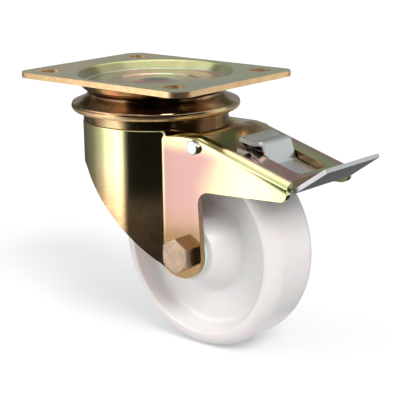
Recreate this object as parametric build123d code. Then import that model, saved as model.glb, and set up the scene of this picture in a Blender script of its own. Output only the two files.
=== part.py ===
from build123d import *
from math import asin, atan2, cos, pi, radians, sin, sqrt, tan
import os

# Braked swivel castor with a pressed steel fork and a one-piece nylon wheel.
# Millimetres. The origin is on the swivel axis, in the top face of the mounting plate.
# +Z points up, +X towards the brake pedal, and Y along the wheel's axle.

# Overall
TRAIL = 49.4
WHEEL_RADIUS = 62.5
TREAD_GAP = 8.0

# Clearances
RUN_CLEAR = 0.1
LOCATE_CLEAR = 0.05
LIMIT_CLEAR = 0.15
LOCK_CLEAR = 0.6
SEAT_CLEAR = 0.3

# Mounting plate
PLATE_LENGTH = 140.0
PLATE_WIDTH = 110.0
PLATE_THICK = 3.5
PLATE_CORNER = 10.0
HOLE_SPACING_X = 105.0
HOLE_SPACING_Y = 80.0
HOLE_RADIUS = 6.25
DISH_RADIUS = 49.9
DISH_DEPTH = 5.8
DISH_RIM_BEND = 4.0
DISH_FLOOR_BEND = 3.0
DISC_RADIUS = 27.5
DISC_STEP = 0.5

# King pin and its nut
KING_PIN_RADIUS = 8.0
KING_HEAD_RADIUS = 15.0
KING_HEAD_HEIGHT = 1.6
KING_NUT_ACROSS = 24.0
KING_NUT_HEIGHT = 8.0
KING_PIN_PROUD = 2.0
KING_BORE_CLEAR = 1.5

# Swivel bearing
UPPER_RACE_HEIGHT = 4.2
UPPER_RACE_INSIDE = 29.0
RACE_WAIST = 42.6
BALL_RADIUS = 4.0
BALL_PITCH_RADIUS = 36.0
GROOVE_DEPTH = 1.0
LOWER_RACE_HEIGHT = 9.5
LOWER_RACE_INSET = 0.4
LOWER_RACE_SHOULDER = 0.7
LOWER_RACE_DROP = 2.7
SKIRT_SHEET = 3.0
SKIRT_SPIGOT = 1.6
SKIRT_LEDGE = 1.0
SKIRT_REACH = 9.8
SKIRT_HOLLOW = 0.5
SKIRT_EDGE_DROP = 4.7
SKIRT_EDGE_INSET = 0.6
SKIRT_RIM_DROP = 6.6
SKIRT_LIP_DROP = 9.6
SKIRT_LIP_INSET = 2.3
SKIRT_LIP_WIDTH = 1.9
SEAL_WIDTH = 2.0
SMALL_BALL_RADIUS = 3.0
SMALL_PITCH_RADIUS = 18.0
SMALL_GROOVE_DEPTH = 0.6
LOCK_DISC_RADIUS = 31.0
LOCK_DISC_THICK = 2.6
LOCK_DISC_GAP = 0.6
LOCK_NOTCHES = 24
LOCK_NOTCH_RADIUS = 1.6

# Fork
FORK_SHEET = 4.0
FORK_INSIDE = 56.0
NOSE_RADIUS = 46.4
NOSE_TOP_BEND = 1.5
NECK_BEND = 5.0
CROWN_BOSS_RADIUS = 28.5
WEB_SLOPE = 16.0
WEB_START = 61.0
WEB_BEND = 25.0
FORK_END = 128.0
WEB_END_STEP = 1.0
SHOULDER_BEND = 6.0
INNER_BEND = 2.0
END_DEPTH = 11.0
END_CORNER = 5.0
LEG_REAR = 61.6
LEG_CORNER = 8.5
LEG_CORNER_DEPTH = 33.8
BOSS_RADIUS = 15.6
FRONT_EDGE_ANGLE = 45.0
FRONT_EDGE_RADIUS = 18.5
APRON_DEPTH = 27.0
APRON_RISE = 6.0
APRON_BEND = 14.0
SLOT_START = 79.5
SLOT_END = 123.5
SLOT_HALF = 13.5
SLOT_CORNER = 4.0

# Wheel
WHEEL_WIDTH = 40.0
TREAD_EDGE = 8.3
RIM_FACE_RADIUS = 53.0
RECESS_RADIUS = 50.2
WHEEL_WEB = 16.0
HUB_GAP = 2.5
HUB_WIDTH = FORK_INSIDE - 2 * HUB_GAP
HUB_RADIUS = 18.0
HUB_BASE_RADIUS = 28.0
RECESS_BEND = 5.0

# Axle and roller bearing
AXLE_RADIUS = 6.0
SLEEVE_RADIUS = 8.0
ROLLER_RADIUS = 2.0
ROLLER_COUNT = 10
CAGE_LENGTH = HUB_WIDTH - 5.0
ROLLER_LENGTH = CAGE_LENGTH - 6.0
CAGE_THICK = 3.0
SEAL_RADIUS = 14.5
BOLT_ACROSS = 19.0
BOLT_HEAD = 7.5
NUT_HEIGHT = 9.0
NUT_COLLAR = 3.0
WASHER_RADIUS = 12.0
WASHER_THICK = 2.5
BOLT_PROUD = 1.5

# Brake lever, carried by two short rivets in the fork's walls
RIVET_X = 60.2
RIVET_DROP = 7.0
RIVET_HEAD_RADIUS = 4.4
RIVET_HEAD_HEIGHT = 2.8
RIVET_RADIUS = 2.8
RIVET_TIP_RADIUS = 2.4
LEVER_SHEET = 2.5
LEVER_SIDE_GAP = 3.0
LEVER_HALF = FORK_INSIDE / 2 - LEVER_SIDE_GAP
LEVER_TOP_DROP = 7.3
LEVER_END = 103.0
LEVER_START = 47.0
TONGUE_TIP = 22.0
TONGUE_HALF = 11.0
TONGUE_KNEE = 37.0
KNEE_RUN = 5.0
FLANGE_DEPTH = 6.5
LUG_RADIUS = 4.4

# Brake shoe
SHOE_START = 82.0
SHOE_END = 99.0
SHOE_HALF = 17.0
SHOE_DEPTH = 1.95
SHOE_TIP_DEPTH = 9.0
SHOE_RIVET_RADIUS = 2.0
SHOE_RIVET_HEAD = 3.6
SHOE_RIVET_HEAD_HEIGHT = 1.4
SHOE_RIVET_SPACING = 20.0

# Pedal: foot plate, arm and release tab in one folded sheet
LEVER_ANGLE = 2.06
PEDAL_SHEET = 2.5
PEDAL_PIN_X = 114.0
PEDAL_PIN_DROP = 6.84
PEDAL_PIN_RADIUS = 2.5
PEDAL_ARM_CLEAR = 0.35
PEDAL_CHEEK_GAP = 1.0
PEDAL_SLOT_CLEAR = 0.9
CAM_RADIUS = 7.85
FOOT_SLOPE = 34.5
FOOT_LENGTH = 26.5
FOOT_OVERHANG = 1.8
FOOT_HALF = LEVER_HALF + FOOT_OVERHANG
FOOT_TIP_HALF = FOOT_HALF - 0.7
FOOT_BEND = 3.0
FOOT_WIDE_X = 129.2
TAB_TIP_X = 81.8
TAB_TIP_RISE = 2.6
TAB_VALLEY_X = 89.5
TAB_VALLEY_GAP = 2.2
TAB_CREST_X = 96.9
TAB_CREST_RISE = 5.2
TAB_HALF = 16.0
TAB_BEND = 5.0
TAB_CREST_BEND = 3.2
NECK_X = 101.6
CLIP_RADIUS = 4.6
CLIP_THICK = 0.8
PIN_PROUD = 0.9

# Pedal spring
SPRING_WIRE = 0.75
SPRING_RADIUS = 2.75
SPRING_TURNS = 3
SPRING_SPACE = 0.25
SPRING_LEG_SETBACK = 2.0
SPRING_X = 91.5
SPRING_LIFT = 4.2

# Heights down the swivel axis
DISH_FLOOR = -DISH_DEPTH
DISC_TOP = DISH_FLOOR - DISC_STEP
PLATE_BOTTOM = DISH_FLOOR - PLATE_THICK
RACE_BOTTOM = PLATE_BOTTOM - UPPER_RACE_HEIGHT
BALL_CENTRE = RACE_BOTTOM - BALL_RADIUS + GROOVE_DEPTH
LOWER_RACE_TOP = BALL_CENTRE - BALL_RADIUS + GROOVE_DEPTH
CROWN_TOP = LOWER_RACE_TOP - LOWER_RACE_HEIGHT
CROWN_BOTTOM = CROWN_TOP - FORK_SHEET
DISC_UPPER = CROWN_BOTTOM - LOCK_DISC_GAP
DISC_LOWER = DISC_UPPER - LOCK_DISC_THICK
SMALL_BALL_CENTRE = DISC_UPPER + SMALL_BALL_RADIUS - SMALL_GROOVE_DEPTH
CAVITY_TOP = SMALL_BALL_CENTRE + SMALL_BALL_RADIUS - SMALL_GROOVE_DEPTH
AXLE_Z = CROWN_BOTTOM - TREAD_GAP - WHEEL_RADIUS

# Widths across the fork
WALL_IN = FORK_INSIDE / 2
WALL_OUT = WALL_IN + FORK_SHEET

# The sloping web
SLOPE = tan(radians(WEB_SLOPE))
STEEP = 1 / cos(radians(WEB_SLOPE))
FAR = 200.0


def web_top(x):
    """Height of the upper face of the sloping web."""
    return CROWN_TOP - SLOPE * (x - WEB_START)


def below_web(x, depth):
    """Height of a line that lies a depth below the web's upper face, square to it."""
    return web_top(x) - depth * STEEP


# Pivots of the brake
RIVET_Z = CROWN_TOP - RIVET_DROP
PEDAL_PIN_Z = below_web(PEDAL_PIN_X, FORK_SHEET) - PEDAL_PIN_DROP
LEVER_TOP = CROWN_TOP - LEVER_TOP_DROP
TONGUE_RISE = (RIVET_X - TONGUE_TIP) * sin(radians(LEVER_ANGLE))
TONGUE_TOP = DISC_LOWER - TONGUE_RISE - LOCK_CLEAR


def round_wheel(x, radius):
    """Height of a circle about the axle, above it, at a place along the castor."""
    return AXLE_Z + sqrt(radius**2 - (x - TRAIL) ** 2)


# The shoe clears the tread by what the lever's turn closes, and the lever's slope follows the wheel
SHOE_TIP = Vector(SHOE_END - RIVET_X, round_wheel(SHOE_END, WHEEL_RADIUS) - RIVET_Z)
SHOE_TIP_LOCKED = SHOE_TIP.rotate(Axis.Z, -LEVER_ANGLE) + Vector(RIVET_X - TRAIL, RIVET_Z - AXLE_Z)
SHOE_GAP = WHEEL_RADIUS - SHOE_TIP_LOCKED.length + LIMIT_CLEAR
SHOE_MIDDLE = (SHOE_START + SHOE_END) / 2
SHOE_SEAT = round_wheel(SHOE_MIDDLE, WHEEL_RADIUS + SHOE_GAP) + SHOE_DEPTH
SEAT_RUN = Vector(SHOE_MIDDLE - RIVET_X, LEVER_TOP - SHOE_SEAT)
LEVER_SLOPE = tan(atan2(SEAT_RUN.Y, SEAT_RUN.X) - asin(LEVER_SHEET / SEAT_RUN.length))


def outline(*corners):
    """A flat face from corners (across, up) or (across, up, radius), rounded where a radius is given."""
    spots = [Vector(corner[0], corner[1]) for corner in corners]
    starts = []
    edges = []
    for i, corner in enumerate(corners):
        here = spots[i]
        back = (spots[i - 1] - here).normalized()
        ahead = (spots[(i + 1) % len(spots)] - here).normalized()
        radius = corner[2] if len(corner) > 2 else 0
        if radius == 0:
            starts.append((here, here))
            continue
        half = radians(back.get_angle(ahead)) / 2
        trim = radius / tan(half)
        middle = here + (back + ahead).normalized() * (radius / sin(half) - radius)
        starts.append((here + back * trim, here + ahead * trim))
        edges.append(ThreePointArc(starts[-1][0], middle, starts[-1][1]))
    for i, ends in enumerate(starts):
        leave = starts[i - 1][1]
        if (ends[0] - leave).length > 1e-6:
            edges.append(Line(leave, ends[0]))
    return make_face(edges)


def strip(thick, *corners):
    """Side view of a folded sheet, from the corners and bend radii of its upper face, read from -X to +X."""
    spots = [Vector(corner[0], corner[1]) for corner in corners]
    lower = []
    for i, here in enumerate(spots):
        into = (here - spots[i - 1]).normalized() if i > 0 else None
        out = (spots[i + 1] - here).normalized() if i < len(spots) - 1 else None
        into = into or out
        out = out or into
        normal = (Vector(into.Y, -into.X) + Vector(out.Y, -out.X)).normalized()
        stretch = thick / normal.dot(Vector(out.Y, -out.X))
        spot = here + normal * stretch
        if len(corners[i]) > 2:
            rising = into.X * out.Y - into.Y * out.X > 0
            radius = corners[i][2] + thick if rising else corners[i][2] - thick
            lower.append((spot.X, spot.Y, radius))
        else:
            lower.append((spot.X, spot.Y))
    return outline(*corners, *reversed(lower))


def slab(face, start, end):
    """A side-view face (X across, Z up) made solid from one Y to another."""
    return extrude(Plane.XZ.offset(-start) * face, amount=start - end)


def both_sides(face, inner, outer):
    """The same slab on each side of the middle plane."""
    return slab(face, inner, outer) + slab(face, -outer, -inner)


def turned(face):
    """A solid of revolution about the swivel axis, from a (radius, height) face."""
    return revolve(Plane.XZ * face, Axis.Z)


def on_axle(shape):
    """Lays a shape built about the vertical axis along the wheel's axle, its top to the -Y side."""
    return Pos(TRAIL, 0, AXLE_Z) * Rot(90, 0, 0) * shape


def plan(face, bottom, top):
    """A plan-view face made solid between two heights."""
    return extrude(Pos(0, 0, bottom) * face, amount=top - bottom)


def tube(outer, inner, bottom, top):
    """A plain ring about the vertical axis."""
    return plan(Circle(outer) - Circle(inner), bottom, top)


def round_about(count, radius, piece):
    """Copies of a piece on a circle about the vertical axis, as separate solids."""
    copies = [Rot(0, 0, 360 * i / count) * Pos(radius, 0, 0) * piece for i in range(count)]
    return Compound(copies)


def hexagon(across):
    """A hexagon across its flats, with corners up and down."""
    return RegularPolygon(across / 2, 6, major_radius=False, rotation=30)


def hex_head(across, height, crown):
    """A hexagon prism on Z = 0 whose upper corners are turned off by the crown height."""
    corner = across / sqrt(3)
    face = across / 2 * 0.96
    blank = plan(hexagon(across), 0, height)
    domed = outline((0, 0), (corner + 1, 0), (corner + 1, height - crown), (face, height), (0, height))
    return blank & turned(domed)


def make_top_plate():
    cone_top = DISH_RADIUS + PLATE_THICK * sqrt(2)
    cone_foot = cone_top - DISH_DEPTH - PLATE_THICK
    floor_edge = DISH_RADIUS - DISH_DEPTH
    blank = plan(RectangleRounded(PLATE_LENGTH, PLATE_WIDTH, PLATE_CORNER), -PLATE_THICK, 0)
    bowl = turned(outline((0, -1), (cone_top - 1, -1), (cone_foot, PLATE_BOTTOM, 2.0), (0, PLATE_BOTTOM)))
    hollow = turned(
        outline(
            (0, 1),
            (DISH_RADIUS + DISH_RIM_BEND, 1),
            (DISH_RADIUS + DISH_RIM_BEND, 0),
            (DISH_RADIUS, 0, DISH_RIM_BEND),
            (floor_edge, DISH_FLOOR, DISH_FLOOR_BEND),
            (DISC_RADIUS, DISH_FLOOR),
            (DISC_RADIUS - DISC_STEP, DISC_TOP),
            (0, DISC_TOP),
        )
    )
    spots = GridLocations(HOLE_SPACING_X, HOLE_SPACING_Y, 2, 2)
    holes = Sketch() + [spot * Circle(HOLE_RADIUS) for spot in spots]
    bore = plan(Circle(KING_PIN_RADIUS + LOCATE_CLEAR), PLATE_BOTTOM - 1, 1)
    return blank + bowl - hollow - bore - plan(holes, -PLATE_THICK - 1, 1)


def make_king_pin():
    foot = DISC_LOWER - KING_NUT_HEIGHT - KING_PIN_PROUD
    dome = KING_HEAD_RADIUS**2 / (2 * KING_HEAD_HEIGHT) + KING_HEAD_HEIGHT / 2
    head = Pos(0, 0, DISC_TOP + KING_HEAD_HEIGHT - dome) * Sphere(dome)
    head = head & plan(Circle(KING_HEAD_RADIUS), DISC_TOP, DISC_TOP + KING_HEAD_HEIGHT)
    shank = turned(
        outline(
            (0, DISC_TOP),
            (KING_PIN_RADIUS, DISC_TOP),
            (KING_PIN_RADIUS, foot + 1),
            (KING_PIN_RADIUS - 1, foot),
            (0, foot),
        )
    )
    return head + shank


def make_king_nut():
    nut = Pos(0, 0, DISC_LOWER) * Rot(180, 0, 0) * hex_head(KING_NUT_ACROSS, KING_NUT_HEIGHT, 1.0)
    return nut - plan(Circle(KING_PIN_RADIUS + LOCATE_CLEAR), DISC_LOWER - FAR, 0)


def ball_track(radius, centre, pitch):
    """The ring that a row of balls sweeps, a little larger than the balls."""
    return turned(Pos(pitch, centre) * Circle(radius + RUN_CLEAR))


def make_lock_disc():
    disc = tube(LOCK_DISC_RADIUS, KING_PIN_RADIUS + LOCATE_CLEAR, DISC_LOWER, DISC_UPPER)
    notch = plan(Circle(LOCK_NOTCH_RADIUS), DISC_LOWER - 1, DISC_UPPER + 1)
    notches = round_about(LOCK_NOTCHES, LOCK_DISC_RADIUS, notch)
    return disc - ball_track(SMALL_BALL_RADIUS, SMALL_BALL_CENTRE, SMALL_PITCH_RADIUS) - notches


def make_upper_race():
    cone_foot = DISH_RADIUS + PLATE_THICK * sqrt(2) - DISH_DEPTH - PLATE_THICK
    spigot_foot = RACE_BOTTOM - SKIRT_SHEET + 0.5
    race = turned(
        outline(
            (UPPER_RACE_INSIDE, PLATE_BOTTOM),
            (cone_foot - 0.4, PLATE_BOTTOM),
            (RACE_WAIST, PLATE_BOTTOM - 2.6, 1.0),
            (RACE_WAIST, RACE_BOTTOM),
            (RACE_WAIST - SKIRT_SPIGOT, RACE_BOTTOM),
            (RACE_WAIST - SKIRT_SPIGOT, spigot_foot),
            (RACE_WAIST - SKIRT_SPIGOT - 0.9, spigot_foot),
            (RACE_WAIST - SKIRT_SPIGOT - 1.4, RACE_BOTTOM),
            (UPPER_RACE_INSIDE, RACE_BOTTOM),
        )
    )
    return race - ball_track(BALL_RADIUS, BALL_CENTRE, BALL_PITCH_RADIUS)


def make_swivel_ring():
    bore = RACE_WAIST - SKIRT_SPIGOT + LOCATE_CLEAR
    shoulder = Vector(RACE_WAIST + SKIRT_LEDGE, RACE_BOTTOM)
    skirt_radius = shoulder.X + SKIRT_REACH
    edge = Vector(skirt_radius - SKIRT_EDGE_INSET, RACE_BOTTOM - SKIRT_EDGE_DROP)
    rim = Vector(skirt_radius, RACE_BOTTOM - SKIRT_RIM_DROP)
    lip = Vector(skirt_radius - SKIRT_LIP_INSET, RACE_BOTTOM - SKIRT_LIP_DROP)
    lip_inside = lip - Vector(SKIRT_LIP_WIDTH, 0)
    run = edge - shoulder
    lean = Vector(-run.Y, run.X).normalized()
    middle = shoulder + run * 0.5 - lean * SKIRT_HOLLOW
    root = shoulder - lean * SKIRT_SHEET
    edges = [
        Line((bore, RACE_BOTTOM), shoulder),
        ThreePointArc(shoulder, middle, edge),
        ThreePointArc(edge, rim, lip),
        Line(lip, lip_inside),
        ThreePointArc(lip_inside, middle - lean * SKIRT_SHEET, root),
        Line(root, (bore, root.Y)),
        Line((bore, root.Y), (bore, RACE_BOTTOM)),
    ]
    return turned(make_face(edges))


def make_lower_race():
    outside = NOSE_RADIUS - LOWER_RACE_INSET
    bore = CROWN_BOSS_RADIUS + LOCATE_CLEAR
    race = turned(
        outline(
            (bore, LOWER_RACE_TOP),
            (RACE_WAIST + LOWER_RACE_SHOULDER, LOWER_RACE_TOP, 1.0),
            (outside, LOWER_RACE_TOP - LOWER_RACE_DROP, 0.7),
            (outside, CROWN_TOP),
            (bore, CROWN_TOP),
        )
    )
    return race - ball_track(BALL_RADIUS, BALL_CENTRE, BALL_PITCH_RADIUS)


def make_dust_seal():
    outer = RACE_WAIST + LOWER_RACE_SHOULDER - 0.4
    top = RACE_BOTTOM - SKIRT_SHEET - SEAT_CLEAR - RUN_CLEAR
    inner = outer - SEAL_WIDTH
    section = outline((inner, LOWER_RACE_TOP), (outer, LOWER_RACE_TOP), (outer - 0.5, top), (inner + 0.5, top))
    return turned(section)


def ball_count(pitch, radius):
    return int(2 * pi * pitch / (2 * radius + 2 * RUN_CLEAR))


def make_upper_balls():
    balls = round_about(ball_count(BALL_PITCH_RADIUS, BALL_RADIUS), BALL_PITCH_RADIUS, Sphere(BALL_RADIUS))
    return Pos(0, 0, BALL_CENTRE) * balls


def make_lower_balls():
    count = ball_count(SMALL_PITCH_RADIUS, SMALL_BALL_RADIUS)
    balls = round_about(count, SMALL_PITCH_RADIUS, Sphere(SMALL_BALL_RADIUS))
    return Pos(0, 0, SMALL_BALL_CENTRE) * balls


def channel_blank(half, depth, bend):
    """The straight part of the fork before its lower edges are cut, with rounded upper edges."""
    side = outline(
        (0, CROWN_TOP - depth),
        (WEB_START, below_web(WEB_START, depth), WEB_BEND),
        (FAR, below_web(FAR, depth)),
        (FAR, -FAR),
        (0, -FAR),
    )
    blank = slab(side, -half, half)
    upper = blank.edges().filter_by(lambda e: abs(abs(e.center().Y) - half) < 0.01)
    lowest = below_web(FAR, depth) - 1
    upper = upper.filter_by(lambda e: e.center().Z > lowest and 0.1 < e.center().X < FAR - 0.1)
    return fillet(upper, bend)


def fork_outline():
    """Side view of the fork: flat crown, sloping rear extension, leg, axle boss and the cut front edge."""
    foot = AXLE_Z - BOSS_RADIUS
    lean = radians(FRONT_EDGE_ANGLE)
    front = Vector(TRAIL - sin(lean) * FRONT_EDGE_RADIUS, AXLE_Z - cos(lean) * FRONT_EDGE_RADIUS)
    apron = CROWN_TOP - APRON_DEPTH
    to_foot = (front.Y - foot) / tan(lean)
    to_apron = (apron - front.Y) / tan(lean)
    end_low = web_top(FORK_END) - END_DEPTH
    leg_low = CROWN_TOP - LEG_CORNER_DEPTH
    return outline(
        (-FAR / 2, CROWN_TOP + 1),
        (FORK_END, CROWN_TOP + 1),
        (FORK_END, end_low, END_CORNER),
        (LEG_REAR, leg_low, LEG_CORNER),
        (TRAIL + BOSS_RADIUS, foot, BOSS_RADIUS),
        (front.X + to_foot, foot, FRONT_EDGE_RADIUS),
        (front.X - to_apron, apron, APRON_BEND),
        (-FAR / 2, apron + APRON_RISE),
    )


def inner_nose():
    """The hollow of the nose, with the necks' inner bends beside the straight walls."""
    radius = NOSE_RADIUS - FORK_SHEET
    bend = NECK_BEND + FORK_SHEET
    reach = sqrt((radius + bend) ** 2 - (WALL_IN + bend) ** 2)
    hollow = Circle(radius) + Pos(reach / 2, 0) * Rectangle(reach, 2 * WALL_IN)
    meet = sqrt(radius**2 - WALL_IN**2)
    necks = hollow.vertices().filter_by(lambda v: abs(v.X - meet) < 0.01)
    return plan(fillet(necks, bend * 0.999), -FAR, CROWN_BOTTOM)


def make_fork():
    nose = plan(Circle(NOSE_RADIUS), -FAR, CROWN_TOP)
    nose = fillet(nose.edges().group_by(Axis.Z)[-1], NOSE_TOP_BEND)
    outer = nose + channel_blank(WALL_OUT, 0, SHOULDER_BEND)
    inner = inner_nose() + channel_blank(WALL_IN, FORK_SHEET, INNER_BEND)
    neck_x = sqrt(NOSE_RADIUS**2 - WALL_OUT**2)
    neck = outer.edges().filter_by(Axis.Z)
    neck = neck.filter_by(lambda e: abs(e.center().X - neck_x) < 0.5)
    neck = neck.filter_by(lambda e: abs(abs(e.center().Y) - WALL_OUT) < 0.5)
    outer = fillet(neck, NECK_BEND)
    shell = (outer - inner) & slab(fork_outline(), -NOSE_RADIUS - 1, NOSE_RADIUS + 1)
    boss = plan(Circle(CROWN_BOSS_RADIUS), CROWN_TOP - 1, CAVITY_TOP + FORK_SHEET)
    boss = fillet(boss.edges().group_by(Axis.Z)[-1], 1.0)
    cavity = plan(Circle(CROWN_BOSS_RADIUS - FORK_SHEET), CROWN_BOTTOM - 1, CAVITY_TOP)
    bore = plan(Circle(KING_PIN_RADIUS + KING_BORE_CLEAR), -FAR, 0)
    track = ball_track(SMALL_BALL_RADIUS, SMALL_BALL_CENTRE, SMALL_PITCH_RADIUS)
    crown = shell + boss - cavity - bore - track
    slot = RectangleRounded(SLOT_END - SLOT_START, 2 * SLOT_HALF, SLOT_CORNER)
    slot = Pos((SLOT_START + SLOT_END) / 2, 0) * slot
    gap = FORK_END - WEB_END_STEP
    step = Pos(gap + FAR / 2, 0) * Rectangle(FAR, 2 * (WALL_OUT - SHOULDER_BEND))
    axle = Pos(TRAIL, AXLE_Z) * Circle(AXLE_RADIUS + LOCATE_CLEAR)
    rivet = Pos(RIVET_X, RIVET_Z) * Circle(RIVET_RADIUS + LOCATE_CLEAR)
    fork = crown - plan(slot, below_web(SLOT_END, 3 * FORK_SHEET), 0) - plan(step, -FAR, 0)
    return fork - slab(axle, -FAR, FAR) - slab(rivet, -FAR, FAR)


def make_wheel():
    half = WHEEL_WIDTH / 2
    web = WHEEL_WEB / 2
    hub = HUB_WIDTH / 2
    bore = SLEEVE_RADIUS + 2 * ROLLER_RADIUS + 2 * RUN_CLEAR
    upper = [
        (bore, hub),
        (HUB_RADIUS, hub, 1.5),
        (HUB_BASE_RADIUS, web, RECESS_BEND),
        (RECESS_RADIUS, web, RECESS_BEND),
        (RIM_FACE_RADIUS, half, 1.0),
        (WHEEL_RADIUS, half, TREAD_EDGE),
    ]
    lower = [(corner[0], -corner[1], *corner[2:]) for corner in reversed(upper)]
    return on_axle(turned(outline(*upper, *lower)))


def make_axle_sleeve():
    return on_axle(tube(SLEEVE_RADIUS, AXLE_RADIUS + RUN_CLEAR, -WALL_IN, WALL_IN))


def roller_pitch():
    return SLEEVE_RADIUS + ROLLER_RADIUS + RUN_CLEAR


def make_rollers():
    roller = Cylinder(ROLLER_RADIUS, ROLLER_LENGTH)
    return on_axle(round_about(ROLLER_COUNT, roller_pitch(), roller))


def make_roller_cage():
    pitch = roller_pitch()
    cage = tube(pitch + CAGE_THICK / 2, pitch - CAGE_THICK / 2, -CAGE_LENGTH / 2, CAGE_LENGTH / 2)
    pocket = Cylinder(ROLLER_RADIUS + RUN_CLEAR, ROLLER_LENGTH + 2 * SEAT_CLEAR)
    return on_axle(cage - round_about(ROLLER_COUNT, pitch, pocket))


def make_hub_seals():
    inside = HUB_WIDTH / 2 + LIMIT_CLEAR
    ring = outline(
        (SLEEVE_RADIUS + LOCATE_CLEAR, inside),
        (SEAL_RADIUS, inside),
        (SEAL_RADIUS, WALL_IN - LIMIT_CLEAR, 0.6),
        (SLEEVE_RADIUS + LOCATE_CLEAR, WALL_IN - LIMIT_CLEAR),
    )
    near = turned(ring)
    return on_axle(Compound([near, Rot(180, 0, 0) * near]))


def make_axle_bolt():
    tip = -(WALL_OUT + WASHER_THICK + NUT_HEIGHT + NUT_COLLAR + BOLT_PROUD)
    head = Pos(0, 0, WALL_OUT) * hex_head(BOLT_ACROSS, BOLT_HEAD, 0.7)
    section = outline((0, WALL_OUT), (AXLE_RADIUS, WALL_OUT), (AXLE_RADIUS, tip + 1), (AXLE_RADIUS - 1, tip), (0, tip))
    shank = turned(section)
    return on_axle(head + shank)


def make_axle_washer():
    return on_axle(tube(WASHER_RADIUS, AXLE_RADIUS + LOCATE_CLEAR, -WALL_OUT - WASHER_THICK, -WALL_OUT))


def make_axle_nut():
    seat = WALL_OUT + WASHER_THICK
    collar_radius = BOLT_ACROSS / 2 - 0.6
    collar = plan(Circle(collar_radius), NUT_HEIGHT - 0.5, NUT_HEIGHT + NUT_COLLAR)
    collar = fillet(collar.edges().group_by(Axis.Z)[-1], 1.5)
    nut = hex_head(BOLT_ACROSS, NUT_HEIGHT, 1.0) + collar
    nut = nut - plan(Circle(AXLE_RADIUS + LOCATE_CLEAR), -1, NUT_HEIGHT + NUT_COLLAR + 1)
    return on_axle(Pos(0, 0, -seat) * Rot(180, 0, 0) * nut)


def make_brake_rivets():
    tip = LEVER_HALF - LEVER_SHEET - RUN_CLEAR
    shoulder = LEVER_HALF + RUN_CLEAR
    rim = WALL_OUT + RIVET_HEAD_HEIGHT
    profile = outline(
        (0, tip),
        (RIVET_TIP_RADIUS, tip),
        (RIVET_TIP_RADIUS, shoulder),
        (RIVET_RADIUS, shoulder),
        (RIVET_RADIUS, WALL_OUT),
        (RIVET_HEAD_RADIUS, WALL_OUT),
        (RIVET_HEAD_RADIUS, rim, 0.8),
        (0, rim),
    )
    near = Rot(90, 0, 0) * turned(profile)
    return Pos(RIVET_X, 0, RIVET_Z) * Compound([near, Rot(0, 0, 180) * near])


def lever_top(x):
    """Height of the upper face of the lever's sloping web."""
    return LEVER_TOP - LEVER_SLOPE * (x - RIVET_X)


def lever_bottom(x):
    """Height of the lower face of the lever's sloping web."""
    return lever_top(x) - LEVER_SHEET * sqrt(1 + LEVER_SLOPE**2)


def make_brake_lever():
    sheet = strip(
        LEVER_SHEET,
        (TONGUE_TIP, TONGUE_TOP),
        (TONGUE_KNEE, TONGUE_TOP, 3.0),
        (TONGUE_KNEE + KNEE_RUN, LEVER_TOP, 6.0),
        (RIVET_X, LEVER_TOP, 8.0),
        (LEVER_END, lever_top(LEVER_END)),
    )
    web = slab(sheet, -LEVER_HALF, LEVER_HALF)
    wide = LEVER_END + FAR / 2
    keep = plan(
        outline(
            (TONGUE_TIP - 1, -TONGUE_HALF),
            (LEVER_START - 4, -TONGUE_HALF, 3.0),
            (LEVER_START, -LEVER_HALF),
            (wide, -LEVER_HALF),
            (wide, LEVER_HALF),
            (LEVER_START, LEVER_HALF),
            (LEVER_START - 4, TONGUE_HALF, 3.0),
            (TONGUE_TIP - 1, TONGUE_HALF),
        ),
        -FAR,
        0,
    )
    lug = Pos(PEDAL_PIN_X, PEDAL_PIN_Z) * Circle(LUG_RADIUS)
    flange = lug + outline(
        (LEVER_START, LEVER_TOP - 0.3),
        (RIVET_X, LEVER_TOP - 0.3),
        (LEVER_END - 5, lever_top(LEVER_END - 5) - 0.3),
        (PEDAL_PIN_X, PEDAL_PIN_Z + LUG_RADIUS),
        (PEDAL_PIN_X, PEDAL_PIN_Z - LUG_RADIUS),
        (LEVER_END - 5, lever_top(LEVER_END - 5) - FLANGE_DEPTH - 0.5, 6.0),
        (RIVET_X + 3, LEVER_TOP - FLANGE_DEPTH, 6.0),
        (LEVER_START, LEVER_TOP - FLANGE_DEPTH + 2.5),
    )
    lever = (web & keep) + both_sides(flange, LEVER_HALF - LEVER_SHEET, LEVER_HALF)
    saddle = Pos(RIVET_X, RIVET_Z) * Circle(RIVET_TIP_RADIUS + RUN_CLEAR)
    above = Pos(RIVET_X, RIVET_Z + FAR / 2) * Rectangle(2 * (RIVET_TIP_RADIUS + RUN_CLEAR), FAR)
    pin = Pos(PEDAL_PIN_X, PEDAL_PIN_Z) * Circle(PEDAL_PIN_RADIUS + LOCATE_CLEAR)
    edge = LEVER_HALF - LEVER_SHEET - 2 * RUN_CLEAR
    lever = lever - both_sides(saddle + above, edge, FAR) - slab(pin, -FAR, FAR)
    return lever - shoe_rivet_shape(SHOE_RIVET_RADIUS + LOCATE_CLEAR, -FAR, FAR)


def shoe_rivet_place():
    """Middle of the shoe on the lever's upper face, with the normal of that face."""
    normal = Vector(LEVER_SLOPE, 0, 1).normalized()
    return Plane(origin=(SHOE_MIDDLE, 0, lever_top(SHOE_MIDDLE)), x_dir=(0, 1, 0), z_dir=normal)


def shoe_rivet_shape(radius, low, high):
    """Two cylinders square to the lever's web, side by side across it."""
    upright = (Align.CENTER, Align.CENTER, Align.MIN)
    one = Cylinder(radius, high - low, align=upright)
    spots = [Pos(side * SHOE_RIVET_SPACING / 2, 0, low) * one for side in (-1, 1)]
    return shoe_rivet_place() * Compound(spots)


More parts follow.
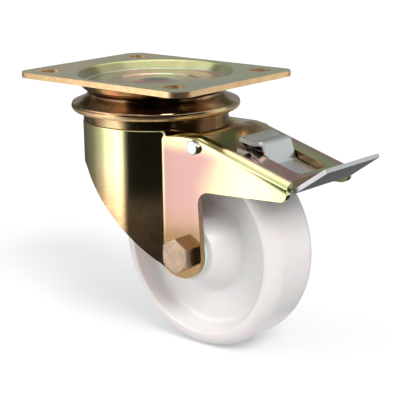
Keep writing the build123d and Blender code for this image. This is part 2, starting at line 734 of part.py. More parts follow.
def make_brake_shoe():
    face_radius = WHEEL_RADIUS + SHOE_GAP
    block = outline(
        (SHOE_START, lever_bottom(SHOE_START)),
        (SHOE_START, lever_bottom(SHOE_START) - FAR),
        (SHOE_END, lever_bottom(SHOE_START) - FAR),
        (SHOE_END, lever_bottom(SHOE_END)),
    )
    shoe = slab(block, -SHOE_HALF, SHOE_HALF) - slab(Pos(TRAIL, AXLE_Z) * Circle(face_radius), -FAR, FAR)
    lowest = lever_bottom(SHOE_END) - SHOE_TIP_DEPTH
    keep = Pos(SHOE_END - FAR / 2, lowest + FAR / 2) * Rectangle(FAR, FAR)
    shoe = shoe & slab(keep, -FAR, FAR)
    return shoe - shoe_rivet_shape(SHOE_RIVET_RADIUS + LOCATE_CLEAR, -FAR, FAR)


def make_shoe_rivets():
    depth = -(LEVER_SHEET + 1.2)
    shank = shoe_rivet_shape(SHOE_RIVET_RADIUS, depth, 0.2)
    heads = shoe_rivet_shape(SHOE_RIVET_HEAD, 0, SHOE_RIVET_HEAD_HEIGHT)
    return shank + heads


def make_brake_pedal():
    arm_depth = FORK_SHEET + PEDAL_ARM_CLEAR
    foot = radians(FOOT_SLOPE)
    bend_x = FORK_END + 0.2
    bend_z = below_web(bend_x, arm_depth)
    tab_z = web_top(TAB_TIP_X) + TAB_TIP_RISE + PEDAL_SHEET
    valley_z = web_top(TAB_VALLEY_X) + TAB_VALLEY_GAP + PEDAL_SHEET
    crest_z = web_top(TAB_CREST_X) + TAB_CREST_RISE + PEDAL_SHEET
    sheet = strip(
        PEDAL_SHEET,
        (TAB_TIP_X, tab_z),
        (TAB_VALLEY_X, valley_z, TAB_BEND),
        (TAB_CREST_X, crest_z, TAB_CREST_BEND),
        (NECK_X, below_web(NECK_X, arm_depth), FOOT_BEND),
        (bend_x, bend_z, FOOT_BEND),
        (bend_x + FOOT_LENGTH * cos(foot), bend_z + FOOT_LENGTH * sin(foot)),
    )
    normal = Vector(sin(radians(WEB_SLOPE)), cos(radians(WEB_SLOPE)))
    along = Vector(normal.Y, -normal.X)
    face = (below_web(PEDAL_PIN_X, arm_depth) - PEDAL_PIN_Z) / STEEP
    corner = Vector(PEDAL_PIN_X, PEDAL_PIN_Z) + normal * face - along * sqrt(CAM_RADIUS**2 - face**2)
    cheek = LEVER_HALF - LEVER_SHEET - PEDAL_CHEEK_GAP
    neck = SLOT_HALF - PEDAL_SLOT_CLEAR
    tip = bend_x + FAR / 2
    edge = [
        (TAB_TIP_X - 1, TAB_HALF),
        (TAB_VALLEY_X + 4, neck),
        (corner.X, neck),
        (corner.X, cheek),
        (FOOT_WIDE_X - 1, cheek),
        (FOOT_WIDE_X, FOOT_HALF),
        (bend_x + FOOT_LENGTH * cos(foot), FOOT_TIP_HALF),
        (tip, FOOT_TIP_HALF),
    ]
    flipped = [(x, -y) for x, y in reversed(edge)]
    pedal = slab(sheet, -FOOT_HALF, FOOT_HALF) & plan(outline(*edge, *flipped), -FAR, 0)
    inner = corner - normal * (PEDAL_SHEET * 0.5)
    outer_x = PEDAL_PIN_X + LUG_RADIUS + 2.6
    ear = Pos(PEDAL_PIN_X, PEDAL_PIN_Z) * Circle(LUG_RADIUS)
    ear = ear + outline(
        (inner.X, inner.Y),
        (outer_x, below_web(outer_x, arm_depth + PEDAL_SHEET * 0.5)),
        (PEDAL_PIN_X + LUG_RADIUS, PEDAL_PIN_Z),
        (PEDAL_PIN_X - LUG_RADIUS, PEDAL_PIN_Z),
    )
    pedal = pedal + both_sides(ear, cheek - PEDAL_SHEET, cheek)
    return pedal - slab(Pos(PEDAL_PIN_X, PEDAL_PIN_Z) * Circle(PEDAL_PIN_RADIUS + RUN_CLEAR), -FAR, FAR)


def make_pedal_pin():
    half = LEVER_HALF + CLIP_THICK + PIN_PROUD
    pin = slab(Pos(PEDAL_PIN_X, PEDAL_PIN_Z) * Circle(PEDAL_PIN_RADIUS), -half, half)
    return chamfer(pin.edges().filter_by(GeomType.CIRCLE), 0.4)


def make_pin_clips():
    ring = Pos(PEDAL_PIN_X, PEDAL_PIN_Z) * (Circle(CLIP_RADIUS) - Circle(PEDAL_PIN_RADIUS + LOCATE_CLEAR))
    start = LEVER_HALF + LOCATE_CLEAR
    return both_sides(ring, start, start + CLIP_THICK)


def rod(start, end, radius):
    """A round wire between two points with rounded ends."""
    start = Vector(*start)
    end = Vector(*end)
    wire = Plane(origin=start, z_dir=end - start) * Cylinder(
        radius, (end - start).length, align=(Align.CENTER, Align.CENTER, Align.MIN)
    )
    return wire + Pos(start) * Sphere(radius) + Pos(end) * Sphere(radius)


def make_pedal_spring():
    centre = web_top(SPRING_X) + SPRING_LIFT
    pitch = 2 * SPRING_WIRE + SPRING_SPACE
    coil_path = Helix(pitch, pitch * SPRING_TURNS, SPRING_RADIUS)
    coil = sweep(Plane(origin=coil_path @ 0, z_dir=coil_path % 0) * Circle(SPRING_WIRE), coil_path)
    start_y = -(TAB_HALF + SPRING_WIRE + SEAT_CLEAR)
    coil = Pos(SPRING_X, start_y, centre) * Rot(90, 0, 0) * coil
    foot = (SPRING_X + SPRING_RADIUS, start_y, centre)
    leg = rod(foot, (NECK_X - SPRING_LEG_SETBACK, start_y, centre), SPRING_WIRE)
    return coil + leg


PARTS = {
    "top_plate": make_top_plate,
    "king_pin": make_king_pin,
    "king_nut": make_king_nut,
    "lock_disc": make_lock_disc,
    "upper_race": make_upper_race,
    "swivel_ring": make_swivel_ring,
    "lower_race": make_lower_race,
    "dust_seal": make_dust_seal,
    "upper_balls": make_upper_balls,
    "lower_balls": make_lower_balls,
    "fork": make_fork,
    "wheel": make_wheel,
    "axle_sleeve": make_axle_sleeve,
    "rollers": make_rollers,
    "roller_cage": make_roller_cage,
    "hub_seals": make_hub_seals,
    "axle_bolt": make_axle_bolt,
    "axle_washer": make_axle_washer,
    "axle_nut": make_axle_nut,
    "brake_rivets": make_brake_rivets,
    "brake_lever": make_brake_lever,
    "brake_shoe": make_brake_shoe,
    "shoe_rivets": make_shoe_rivets,
    "brake_pedal": make_brake_pedal,
    "pedal_pin": make_pedal_pin,
    "pin_clips": make_pin_clips,
    "pedal_spring": make_pedal_spring,
}

os.makedirs("parts", exist_ok=True)
for name, make in PARTS.items():
    export_step(make(), f"parts/{name}.step")
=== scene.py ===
from math import cos, pi, radians, sin

import bpy
from mathutils import Matrix, Vector


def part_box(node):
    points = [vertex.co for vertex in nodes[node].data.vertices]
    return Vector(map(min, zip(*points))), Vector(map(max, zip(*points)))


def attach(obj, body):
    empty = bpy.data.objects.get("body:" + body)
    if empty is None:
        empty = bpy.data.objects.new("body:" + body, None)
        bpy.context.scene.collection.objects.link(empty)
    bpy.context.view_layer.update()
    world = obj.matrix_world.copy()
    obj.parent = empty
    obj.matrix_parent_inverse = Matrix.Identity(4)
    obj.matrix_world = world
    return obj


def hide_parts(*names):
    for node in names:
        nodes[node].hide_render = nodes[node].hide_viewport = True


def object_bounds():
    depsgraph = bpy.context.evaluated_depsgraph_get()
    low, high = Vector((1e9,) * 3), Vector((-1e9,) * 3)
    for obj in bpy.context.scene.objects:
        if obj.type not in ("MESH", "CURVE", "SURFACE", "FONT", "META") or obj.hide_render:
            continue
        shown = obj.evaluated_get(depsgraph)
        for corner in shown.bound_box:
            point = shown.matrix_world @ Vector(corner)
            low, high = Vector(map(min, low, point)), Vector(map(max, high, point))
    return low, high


# The castor's looks: passivated steel, clear zinc, nylon and a plain studio.
# Metres, in the frame of the solids: origin on the swivel axis in the plate's top face, +Z up.

# Camera
PICTURE = 400
CAMERA_PLACE = (0.5408, -0.5724, 0.1196)
CAMERA_YAW = 131.42
CAMERA_PITCH = -14.55
CAMERA_ROLL = -0.91
CAMERA_FOCAL = 1258.16
SENSOR = 36.0
CLIP_START = 0.01

# Colours, as linear values
BLACK = (0.0, 0.0, 0.0)
BROWN = (0.30, 0.17, 0.09)
TAN = (0.72, 0.46, 0.24)
STRAW = (0.84, 0.74, 0.40)
LIME = (0.66, 0.69, 0.33)
SAGE = (0.58, 0.63, 0.46)
PINK = (0.78, 0.46, 0.38)
PLUM = (0.46, 0.27, 0.30)
LEG_ROSE = (0.47, 0.28, 0.25)
LEG_TAN = (0.42, 0.26, 0.12)
RING_PLUM = (0.25, 0.11, 0.10)
FORGED = (0.46, 0.37, 0.31)
BRIGHT_ZINC = (0.55, 0.57, 0.575)
# Near-white painted highlight for the brake pedal's near cut edges, paler than the zinc itself
CUT_ZINC_HIGHLIGHT = (0.93, 0.94, 0.95)
NYLON = (0.83, 0.80, 0.785)
SEAL_BLACK = (0.03, 0.03, 0.03)
SPRING_BLACK = (0.02, 0.02, 0.022)
CAGE_BLACK = (0.05, 0.05, 0.055)
BEARING = (0.62, 0.62, 0.64)
FLOOR_WHITE = (0.655, 0.67, 0.685)

# The tints that a passivate film runs through as it gets thicker, from 0 to 1
FILM = ((0.0, BROWN), (0.18, TAN), (0.36, STRAW), (0.54, LIME), (0.70, SAGE), (0.86, PINK), (1.0, PLUM))

# How thick the film is on each piece, before what changes it locally
PLATE_FILM = (0.4, 0.56)
FORK_FILM = 0.4
WEB_FILM = (0.84, 0.5)
RING_FILM = 0.26
RACE_FILM = 0.1
EDGE_FILM = 0.2
BOLT_FILM = 0.14

# Plum patches on the swivel ring
BLOOM_SIZE = 0.022
BLOOM_SPAN = (0.48, 0.62)
BLOOM_SHARE = 0.6

# Grain of the metal finishes
GRAIN_SIZE = 0.0008
GRAIN_DISTANCE = 0.0002
FILM_SPECK_SIZE = 0.0015
FILM_SPECK_SWING = 0.03

# The middle part of a noise's values, which holds nearly all of them
NOISE_MIDDLE = (0.3, 0.7)

# Spans of X, Y or Z over which a finish changes
PLATE_ENDS = (-0.07, 0.07)
DISH_FLOOR = (-0.0058, -0.004)
DISH_WALL_FOOT = (-0.0056, -0.0048)
DISH_WALL_TOP = (-0.0014, -0.0004)
NOSE_FOOT = (-0.11, -0.045)
NOSE_REAR = (0.05, 0.07)
LEG_FRONT = (0.032, 0.037)
LEG_REAR = (0.056, 0.092)
LEG_TOP = (-0.043, -0.033)
LEG_SHIFT = (-0.065, -0.035)
LEG_FOOT = (-0.1, -0.07)
EXTENSION_REAR = (0.075, 0.12)
WEB_FRONT = (0.07, 0.084)
WEB_NEAR_STRIP = (-0.016, 0.014)
WEB_FAR_STRIP = (0.018, 0.025)
RACE_SPAN = (-0.03, 0.03)

# The part of the dish's far wall that is green, and the painted highlight that the painted shade on the
# dish's wall spares, in millimetres
DISH_GREEN_SPOT = (0, 45, -2)
DISH_GREEN_REACH = (12, 40)
DISH_PAINTED_HIGHLIGHT_SPOT = (8, 45, -2)
DISH_PAINTED_HIGHLIGHT_REACH = (8, 32)

# Where the painted faces lie
PLATE_RIM_RADIUS = 0.056
RING_RIM_WIDTH = 0.003
FORK_EDGE_WIDTH = 0.0045
FORK_EDGE_FRONT = 0.02
WEB_FACE_FRONT = 0.05
WEB_FACE_INSET = 0.005
# The slot's walls, which get painted shade
SLOT_WALL_FRONT = 0.079
SLOT_WALL_HALF = 0.0137
SLOT_WALL_FOOT = -0.06

# Pedal spring
WIRE = 0.0004
COIL_RADIUS = 0.0013
COIL_LENGTH = 0.0036
COIL_TURNS = 4
COIL_STEPS = 24
COIL_BACK = 0.0032
COIL_LIFT = 0.0002

# Floor and world, where a strength of 1 is white.
# The glow is how much of the floor's white is its own, so that only the shadow shows on it.
FLOOR_SIZE = 6
FLOOR_GLOW = 0.33
WORLD_SEEN = 1.0
WORLD_LIGHT = 0.56

# Lamps, as (name, direction they shine from, strength, angular size in degrees)
LAMPS = (
    ("key", (1.1, -0.5, 1.05), 1.8, 26),
    ("fill", (-0.9, -1.0, 0.4), 0.95, 40),
    ("top", (0.0, 0.0, 1.0), 0.4, 50),
)

# What polished faces reflect: turned cards, as (radius, height) sections with (azimuth, strength) profiles
CARD_STEPS = 48
CARDS = (
    (
        "surround_front",
        ((0.26, -0.162), (0.26, 0.07)),
        (
            (-200, 0.08), (-180, 0.12), (-156, 0.24), (-136, 0.75), (-122, 1.8), (-114, 1.9), (-107, 2.5),
            (-101, 2.5), (-93, 0.12), (-90, 0.008), (12, 0.008), (22, 0.6),
        ),
    ),
    (
        "surround_back",
        ((0.12, -0.164), (0.7, -0.164), (0.7, 0.6)),
        ((60, 0.5), (90, 0.34), (160, 0.34), (180, 0.12), (200, 0.12)),
    ),
    (
        "dark_floor",
        ((0.1, -0.1635), (0.25, -0.1635), (0.25, -0.125)),
        ((-92, 0.09), (-60, 0.09), (0, 0.045), (75, 0.045)),
    ),
)

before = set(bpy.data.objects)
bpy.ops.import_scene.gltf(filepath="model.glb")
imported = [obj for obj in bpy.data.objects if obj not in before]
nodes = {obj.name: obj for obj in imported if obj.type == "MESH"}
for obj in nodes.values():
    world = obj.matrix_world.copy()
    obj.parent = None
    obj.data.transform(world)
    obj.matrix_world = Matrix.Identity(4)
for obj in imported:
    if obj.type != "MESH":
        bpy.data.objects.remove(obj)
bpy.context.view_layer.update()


def in_metres(x, y, z):
    return Vector((x, y, z)) / 1000


# Shader building


class Graph:
    """A material or world node tree, with short calls that add a node and join it."""

    def __init__(self, tree):
        self.tree = tree
        self.tree.nodes.clear()

    def add(self, kind, **values):
        node = self.tree.nodes.new(kind)
        for key, value in values.items():
            setattr(node, key, value)
        return node

    def join(self, source, target):
        self.tree.links.new(source, target)

    def feed(self, target, value):
        if isinstance(value, bpy.types.NodeSocket):
            self.join(value, target)
        else:
            target.default_value = value

    def place(self):
        return self.add("ShaderNodeTexCoord").outputs["Object"]

    def axis(self, vector, name):
        split = self.add("ShaderNodeSeparateXYZ")
        self.join(vector, split.inputs[0])
        return split.outputs[name]

    def ramp(self, value, span, start=0.0, end=1.0):
        """Smooth step from start to end as the value crosses the span."""
        step = self.add("ShaderNodeMapRange", interpolation_type="SMOOTHSTEP")
        self.feed(step.inputs["Value"], value)
        step.inputs["From Min"].default_value, step.inputs["From Max"].default_value = span
        step.inputs["To Min"].default_value = start
        step.inputs["To Max"].default_value = end
        return step.outputs["Result"]

    def maths(self, operation, first, second):
        node = self.add("ShaderNodeMath", operation=operation)
        self.feed(node.inputs[0], first)
        self.feed(node.inputs[1], second)
        return node.outputs[0]

    def total(self, first, *others):
        for other in others:
            first = self.maths("ADD", first, other)
        return first

    def product(self, first, *others):
        for other in others:
            first = self.maths("MULTIPLY", first, other)
        return first

    def mix(self, share, first, second):
        node = self.add("ShaderNodeMix", data_type="RGBA")
        self.feed(node.inputs["Factor"], share)
        for socket, value in ((node.inputs[6], first), (node.inputs[7], second)):
            self.feed(socket, (*value, 1) if isinstance(value, tuple) else value)
        return node.outputs[2]

    def noise(self, vector, size, detail=2.0, rough=0.5):
        """Noise whose patches are about that size in metres."""
        node = self.add("ShaderNodeTexNoise")
        self.join(vector, node.inputs["Vector"])
        node.inputs["Scale"].default_value = 1 / size
        node.inputs["Detail"].default_value = detail
        node.inputs["Roughness"].default_value = rough
        return node.outputs["Fac"]

    def near(self, vector, centre, reach):
        """1 inside the first distance of a point, falling to 0 at the second, all in millimetres."""
        node = self.add("ShaderNodeVectorMath", operation="DISTANCE")
        self.join(vector, node.inputs[0])
        node.inputs[1].default_value = in_metres(*centre)
        return self.ramp(node.outputs["Value"], [distance / 1000 for distance in reach], 1.0, 0.0)

    def film(self, thickness):
        """The tint of a passivate film of that thickness."""
        node = self.add("ShaderNodeValToRGB")
        stops = node.color_ramp.elements
        while len(stops) < len(FILM):
            stops.new(0.5)
        for stop, (where, tint) in zip(stops, FILM):
            stop.position = where
            stop.color = (*tint, 1)
        self.feed(node.inputs[0], thickness)
        return node.outputs[0]

    def bump(self, height, strength, distance=GRAIN_DISTANCE):
        node = self.add("ShaderNodeBump")
        node.inputs["Strength"].default_value = strength
        node.inputs["Distance"].default_value = distance
        self.join(height, node.inputs["Height"])
        return node.outputs["Normal"]

    def surface(self, colour, metallic, roughness, normal=None, **values):
        node = self.add("ShaderNodeBsdfPrincipled")
        self.feed(node.inputs["Base Color"], (*colour, 1) if isinstance(colour, tuple) else colour)
        node.inputs["Metallic"].default_value = metallic
        self.feed(node.inputs["Roughness"], roughness)
        if normal is not None:
            self.join(normal, node.inputs["Normal"])
        for key, value in values.items():
            node.inputs[key.replace("_", " ")].default_value = value
        self.finish("ShaderNodeOutputMaterial", node)

    def finish(self, kind, shader):
        """Joins the last shader to an output node of that kind."""
        self.join(shader.outputs[0], self.add(kind).inputs["Surface"])

    def background_rays(self):
        """1 for the rays that show the background itself, 0 for those that only carry its light."""
        light = self.add("ShaderNodeLightPath")
        seen = self.maths("MAXIMUM", light.outputs["Is Camera Ray"], light.outputs["Is Glossy Ray"])
        return self.maths("MAXIMUM", seen, light.outputs["Is Transmission Ray"])


def material(name):
    found = bpy.data.materials.new(name)
    found.use_nodes = True
    return found, Graph(found.node_tree)


def link(thing):
    bpy.context.scene.collection.objects.link(thing)


# Materials


def drift(graph, place, size, swing):
    """A slow change of a value, from -swing to +swing over patches of that size."""
    return graph.ramp(graph.noise(place, size), NOISE_MIDDLE, -swing, swing)


def finish_passivate(graph, place, thickness, roughness, grain=0.05, darkening=None, over=None):
    """Passivated steel: the tint of its film over a fine grain.

    Darkening scales its colour down where it is under 1: painted shade on the plate's dish wall, a plain
    darkening on the other pieces. Over is a (share, tint) pair laid on top.
    """
    speck = graph.noise(place, GRAIN_SIZE, detail=3.0, rough=0.65)
    colour = graph.film(graph.total(thickness, drift(graph, place, FILM_SPECK_SIZE, FILM_SPECK_SWING)))
    if darkening is not None:
        colour = graph.mix(darkening, BLACK, colour)
    if over is not None:
        colour = graph.mix(over[0], colour, over[1])
    graph.surface(colour, 1.0, roughness, graph.bump(speck, grain))


def plate_material():
    """Straw to lime on the rim and pink in the dish's floor; the dish's wall is darkened to half as painted
    shade, except for a painted highlight in the middle of its far side.
    """
    found, graph = material("yellow_zinc_plate")
    place = graph.place()
    along, height = graph.axis(place, "X"), graph.axis(place, "Z")
    rim = graph.ramp(along, PLATE_ENDS, *PLATE_FILM)
    floor = graph.ramp(height, DISH_FLOOR, 0.3, 0.0)
    green = graph.product(graph.near(place, DISH_GREEN_SPOT, DISH_GREEN_REACH), 0.06)
    thickness = graph.total(drift(graph, place, size=0.05, swing=0.1), rim, floor, green)
    # Painted shade: the dish's wall is darkened to half, except near the painted highlight in the middle of
    # its far side
    wall = graph.product(graph.ramp(height, DISH_WALL_TOP, 1.0, 0.0), graph.ramp(height, DISH_WALL_FOOT))
    painted_shade_flank = graph.maths("SUBTRACT", 1.0, graph.near(place, DISH_PAINTED_HIGHLIGHT_SPOT, DISH_PAINTED_HIGHLIGHT_REACH))
    darkening = graph.maths("SUBTRACT", 1.0, graph.product(wall, painted_shade_flank, 0.5))
    finish_passivate(graph, place, thickness, roughness=0.2, grain=0.1, darkening=darkening)
    return found


def fork_material():
    """Straw, browner at the foot of the nose and greener to the rear, with a rose and tan leg."""
    found, graph = material("yellow_zinc_fork")
    place = graph.place()
    along, height = graph.axis(place, "X"), graph.axis(place, "Z")
    low = graph.product(graph.ramp(height, NOSE_FOOT, -0.36, 0.0), graph.ramp(along, NOSE_REAR, 1.0, 0.0))
    rear = graph.ramp(along, EXTENSION_REAR, 0.0, 0.1)
    thickness = graph.total(FORK_FILM, drift(graph, place, size=0.03, swing=0.06), low, rear)
    uneven = drift(graph, place, size=0.03, swing=0.0025)
    edge = graph.total(along, uneven, graph.ramp(height, LEG_SHIFT, 0.0, -0.01))
    front, back = graph.ramp(along, LEG_FRONT), graph.ramp(edge, LEG_REAR, 1.0, 0.0)
    leg = graph.product(front, back, graph.ramp(height, LEG_TOP, 1.0, 0.2))
    tint = graph.mix(graph.ramp(graph.total(height, uneven), LEG_FOOT), LEG_TAN, LEG_ROSE)
    finish_passivate(graph, place, thickness, roughness=0.12, over=(leg, tint))
    return found


def web_material():
    """The upper face of the fork's rear extension, where the film's bands run along the slot."""
    found, graph = material("yellow_zinc_web")
    place = graph.place()
    along, across = graph.axis(place, "X"), graph.axis(place, "Y")
    uneven = drift(graph, place, size=0.012, swing=0.08)
    near_strip = graph.ramp(across, WEB_NEAR_STRIP, *WEB_FILM)
    far_strip = graph.ramp(across, WEB_FAR_STRIP, 0.0, 0.34)
    front = graph.ramp(along, WEB_FRONT, -0.42, 0.0)
    thickness = graph.total(near_strip, far_strip, uneven, front)
    finish_passivate(graph, place, thickness, roughness=0.18, darkening=0.72)
    return found


def ring_material():
    found, graph = material("yellow_zinc_ring")
    place = graph.place()
    thickness = graph.total(drift(graph, place, size=0.025, swing=0.22), RING_FILM)
    bloom = graph.ramp(graph.noise(place, BLOOM_SIZE), BLOOM_SPAN, 0.0, BLOOM_SHARE)
    finish_passivate(graph, place, thickness, roughness=0.16, darkening=0.66, over=(bloom, RING_PLUM))
    return found


# The races' finish, also laid on the fork slot's walls as painted shade
def race_material():
    found, graph = material("yellow_zinc_race_and_slot_shade")
    place = graph.place()
    thickness = graph.total(drift(graph, place, size=0.02, swing=0.18), RACE_FILM)
    darkening = graph.ramp(graph.axis(place, "X"), RACE_SPAN, 0.8, 0.5)
    finish_passivate(graph, place, thickness, roughness=0.2, darkening=darkening)
    return found


def cut_edge_material():
    found, graph = material("yellow_zinc_cut_edge")
    place = graph.place()
    thickness = graph.total(drift(graph, place, size=0.006, swing=0.03), EDGE_FILM)
    finish_passivate(graph, place, thickness, roughness=0.36, grain=0.2)
    return found


def bolt_material():
    """A forged skin, whose lumps are coarser than the grain of the sheet."""
    found, graph = material("yellow_zinc_forged")
    place = graph.place()
    thickness = graph.total(drift(graph, place, size=0.005, swing=0.06), BOLT_FILM)
    lumps = graph.noise(place, 0.0022, detail=4.0, rough=0.7)
    colour = graph.mix(0.6, graph.film(thickness), FORGED)
    graph.surface(colour, 1.0, 0.26, graph.bump(lumps, 0.7, distance=0.0008))
    return found


def zinc_material(name, colour, roughness, grain_size, grain):
    found, graph = material(name)
    speck = graph.noise(graph.place(), grain_size)
    graph.surface(colour, 1.0, roughness, graph.bump(speck, grain))
    return found


def nylon_material():
    found, graph = material("nylon")
    speck = graph.noise(graph.place(), 0.004)
    graph.surface(
        NYLON,
        0.0,
        0.3,
        graph.bump(speck, 0.03, distance=0.0003),
        Specular_IOR_Level=0.5,
        Subsurface_Weight=0.5,
        Subsurface_Scale=0.008,
    )
    return found


def plain_material(name, colour, metallic, roughness):
    found, graph = material(name)
    graph.surface(colour, metallic, roughness)
    return found


def dress(names, *materials):
    """Gives nodes their materials; the first covers every face."""
    for name in names.split():
        slots = nodes[name].data.materials
        slots.clear()
        for one in materials:
            slots.append(one)
        for face in nodes[name].data.polygons:
            face.material_index = 0


def paint(node, slot, chosen):
    """Gives the faces that the test picks another of the node's materials."""
    for face in nodes[node].data.polygons:
        if chosen(face.center, face.normal):
            face.material_index = slot


def dress_castor():
    edge, race_and_slot_shade = cut_edge_material(), race_material()
    plate = plate_material()
    zinc = zinc_material("clear_zinc", BRIGHT_ZINC, roughness=0.32, grain_size=0.001, grain=0.08)
    # The cut edges of clear zinc sheet are rough enough to catch the lamps; the brake pedal's near ones,
    # facing -Y, also get a near-white colour as a painted highlight
    zinc_edge_highlight = zinc_material("clear_zinc_cut_edge_highlight", CUT_ZINC_HIGHLIGHT, roughness=0.42, grain_size=0.0008, grain=0.1)
    dress("top_plate", plate, edge)
    dress("king_pin", plate)
    dress("swivel_ring", ring_material(), edge)
    dress("upper_race lower_race lock_disc king_nut", race_and_slot_shade)
    # The fork's fourth finish, the races' dark one, is painted shade on the slot's walls for the dark gap
    # there
    dress("fork", fork_material(), edge, web_material(), race_and_slot_shade)
    dress("axle_bolt axle_washer axle_nut", bolt_material())
    dress("brake_rivets brake_lever brake_shoe shoe_rivets pedal_pin pin_clips", zinc)
    dress("brake_pedal", zinc, zinc_edge_highlight)
    dress("wheel hub_seals", nylon_material())
    dress("dust_seal", plain_material("seal_rubber", SEAL_BLACK, 0.0, 0.6))
    dress("pedal_spring", plain_material("spring_steel", SPRING_BLACK, 0.6, 0.4))
    dress("roller_cage", plain_material("cage_plastic", CAGE_BLACK, 0.0, 0.5))
    dress("upper_balls lower_balls rollers axle_sleeve", plain_material("bearing_steel", BEARING, 1.0, 0.15))


def paint_castor():
    """Cut edges, the web's upper face and the slot's walls, picked by a face's centre c and normal n; the
    slot's walls get the races' dark finish as painted shade, and the brake pedal's faces towards -Y a
    painted highlight.
    """
    rim = max(v.co.xy.length for v in nodes["swivel_ring"].data.vertices) - RING_RIM_WIDTH
    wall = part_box("fork")[1].y

    def plate_edge(c, n):
        return abs(n.z) < 0.4 and c.xy.length > PLATE_RIM_RADIUS

    def ring_edge(c, n):
        return c.xy.length > rim and n.z < 0

    def fork_edge(c, n):
        in_wall = wall - FORK_EDGE_WIDTH < abs(c.y) and c.x > FORK_EDGE_FRONT
        return abs(n.y) < 0.2 and n.z < 0.6 and in_wall

    def web_face(c, n):
        return n.z > 0.93 and c.x > WEB_FACE_FRONT and abs(c.y) < wall - WEB_FACE_INSET

    # Painted shade: the slot's walls take the races' dark finish
    def slot_wall_painted_shade(c, n):
        in_slot = c.x > SLOT_WALL_FRONT and abs(c.y) < SLOT_WALL_HALF and c.z > SLOT_WALL_FOOT
        return abs(n.z) < 0.5 and in_slot

    # Painted highlight: the brake pedal's faces towards -Y, its near cut edges, take the near-white zinc
    def pedal_near_edge_highlight(c, n):
        return n.y < -0.75

    paint("top_plate", 1, plate_edge)
    paint("swivel_ring", 1, ring_edge)
    paint("fork", 1, fork_edge)
    paint("fork", 2, web_face)
    paint("fork", 3, slot_wall_painted_shade)
    paint("brake_pedal", 1, pedal_near_edge_highlight)


dress_castor()
paint_castor()


# The pedal spring, in finer wire than its solid has


def coil_points(centre):
    """Points of the coil, which runs towards -Y from its centre."""
    steps = COIL_TURNS * COIL_STEPS
    points = []
    for i in range(steps + 1):
        angle = 2 * pi * i / COIL_STEPS
        offset = (COIL_RADIUS * cos(angle), -COIL_LENGTH * i / steps, COIL_RADIUS * sin(angle))
        points.append(centre + Vector(offset))
    return points


def make_spring():
    """A coil on the near side of the release tab, with a leg on the web and a short tail."""
    low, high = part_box("pedal_spring")
    web = low.z + COIL_LIFT
    side = high.y - WIRE
    coil = coil_points(Vector((low.x + COIL_BACK, side, web + COIL_RADIUS + WIRE)))
    leg = Vector((high.x, side, web + WIRE))
    knee = coil[0] + Vector((COIL_RADIUS, 0, -COIL_RADIUS / 2))
    tail = coil[-1] + Vector((-COIL_RADIUS, 0, COIL_RADIUS))
    points = [leg, knee, *coil, tail]
    curve = bpy.data.curves.new("spring_path", "CURVE")
    curve.dimensions = "3D"
    curve.bevel_depth = WIRE
    curve.bevel_resolution = 3
    curve.use_fill_caps = True
    spline = curve.splines.new("POLY")
    spline.points.add(len(points) - 1)
    for spot, point in zip(spline.points, points):
        spot.co = (*point, 1)
    path = bpy.data.objects.new("spring_path", curve)
    mesh = bpy.data.meshes.new_from_object(path)
    bpy.data.objects.remove(path)
    spring = bpy.data.objects.new("pedal_spring_coil", mesh)
    link(spring)
    mesh.materials.clear()
    mesh.materials.append(bpy.data.materials["spring_steel"])
    for face in mesh.polygons:
        face.use_smooth = True
    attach(spring, "pedal_body")
    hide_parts("pedal_spring")


make_spring()


# Studio


def stage_floor():
    bpy.ops.mesh.primitive_plane_add(size=FLOOR_SIZE, location=(0, 0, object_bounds()[0][2]))
    floor = bpy.context.object
    floor.name = "floor"
    found, graph = material("floor")
    matt = graph.add("ShaderNodeBsdfDiffuse")
    matt.inputs["Color"].default_value = (*FLOOR_WHITE, 1)
    glow = graph.add("ShaderNodeEmission")
    graph.join(graph.product(graph.background_rays(), FLOOR_GLOW), glow.inputs["Strength"])
    blend = graph.add("ShaderNodeAddShader")
    graph.join(matt.outputs[0], blend.inputs[0])
    graph.join(glow.outputs[0], blend.inputs[1])
    graph.finish("ShaderNodeOutputMaterial", blend)
    floor.data.materials.append(found)


def studio_world():
    world = bpy.data.worlds.new("studio")
    bpy.context.scene.world = world
    world.use_nodes = True
    graph = Graph(world.node_tree)
    strength = graph.ramp(graph.background_rays(), (0.0, 1.0), WORLD_LIGHT, WORLD_SEEN)
    back = graph.add("ShaderNodeBackground")
    back.inputs["Color"].default_value = (1, 1, 1, 1)
    graph.join(strength, back.inputs["Strength"])
    graph.finish("ShaderNodeOutputWorld", back)


def lamp(name, source, strength, spread):
    """A far lamp that lights all of the scene evenly."""
    data = bpy.data.lights.new(name, "SUN")
    data.energy = strength
    data.angle = radians(spread)
    light = bpy.data.objects.new(name, data)
    light.rotation_euler = (-Vector(source)).to_track_quat("-Z", "Y").to_euler()
    link(light)


def between(value, pairs):
    """The second number of the pairs, read off a line between their first numbers."""
    for (start, first), (end, second) in zip(pairs, pairs[1:]):
        if start <= value <= end:
            return first + (second - first) * (value - start) / (end - start)
    return pairs[-1][1]


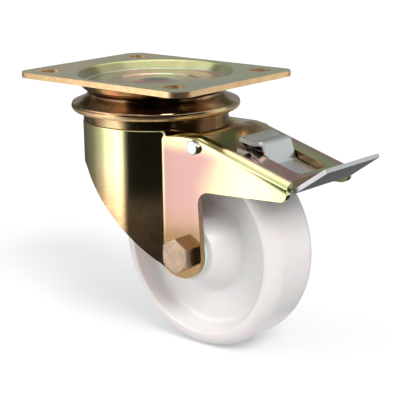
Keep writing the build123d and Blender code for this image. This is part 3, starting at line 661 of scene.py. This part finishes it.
def card(name, section, profile):
    """A turned card that only reflections show."""
    start, end = profile[0][0], profile[-1][0]
    across = len(section)
    azimuths = [start + (end - start) * i / CARD_STEPS for i in range(CARD_STEPS + 1)]
    corners = []
    faces = []
    for i, azimuth in enumerate(azimuths):
        turn = radians(azimuth)
        corners += [(radius * cos(turn), radius * sin(turn), height) for radius, height in section]
        for j in range(1, across if i else 0):
            here = i * across + j
            faces.append((here - 1, here, here - across, here - across - 1))
    mesh = bpy.data.meshes.new(name)
    mesh.from_pydata(corners, [], faces)
    shade = mesh.attributes.new("shade", "FLOAT", "POINT")
    for i, spot in enumerate(shade.data):
        spot.value = between(azimuths[i // across], profile)
    screen = bpy.data.objects.new(name, mesh)
    link(screen)
    found, graph = material(name)
    level = graph.add("ShaderNodeAttribute", attribute_name="shade")
    glow = graph.add("ShaderNodeEmission")
    graph.join(level.outputs["Fac"], glow.inputs["Strength"])
    graph.finish("ShaderNodeOutputMaterial", glow)
    mesh.materials.append(found)
    screen.visible_camera = False
    screen.visible_diffuse = False
    screen.visible_shadow = False
    screen.visible_transmission = False


def stand_camera():
    yaw, pitch, roll = radians(CAMERA_YAW), radians(CAMERA_PITCH), radians(CAMERA_ROLL)
    ahead = Vector((cos(pitch) * cos(yaw), cos(pitch) * sin(yaw), sin(pitch)))
    level = ahead.cross(Vector((0, 0, 1))).normalized()
    upright = level.cross(ahead)
    right = cos(roll) * level + sin(roll) * upright
    up = cos(roll) * upright - sin(roll) * level
    turned = Matrix((right, up, -ahead)).transposed().to_4x4()
    data = bpy.data.cameras.new("camera")
    data.sensor_width = SENSOR
    data.lens = CAMERA_FOCAL * SENSOR / PICTURE
    data.clip_start = CLIP_START
    camera = bpy.data.objects.new("camera", data)
    camera.matrix_world = Matrix.Translation(CAMERA_PLACE) @ turned
    link(camera)
    bpy.context.scene.camera = camera


stage_floor()
studio_world()
for row in LAMPS:
    lamp(*row)
for row in CARDS:
    card(*row)
stand_camera()
bpy.context.scene.view_settings.view_transform = "Standard"
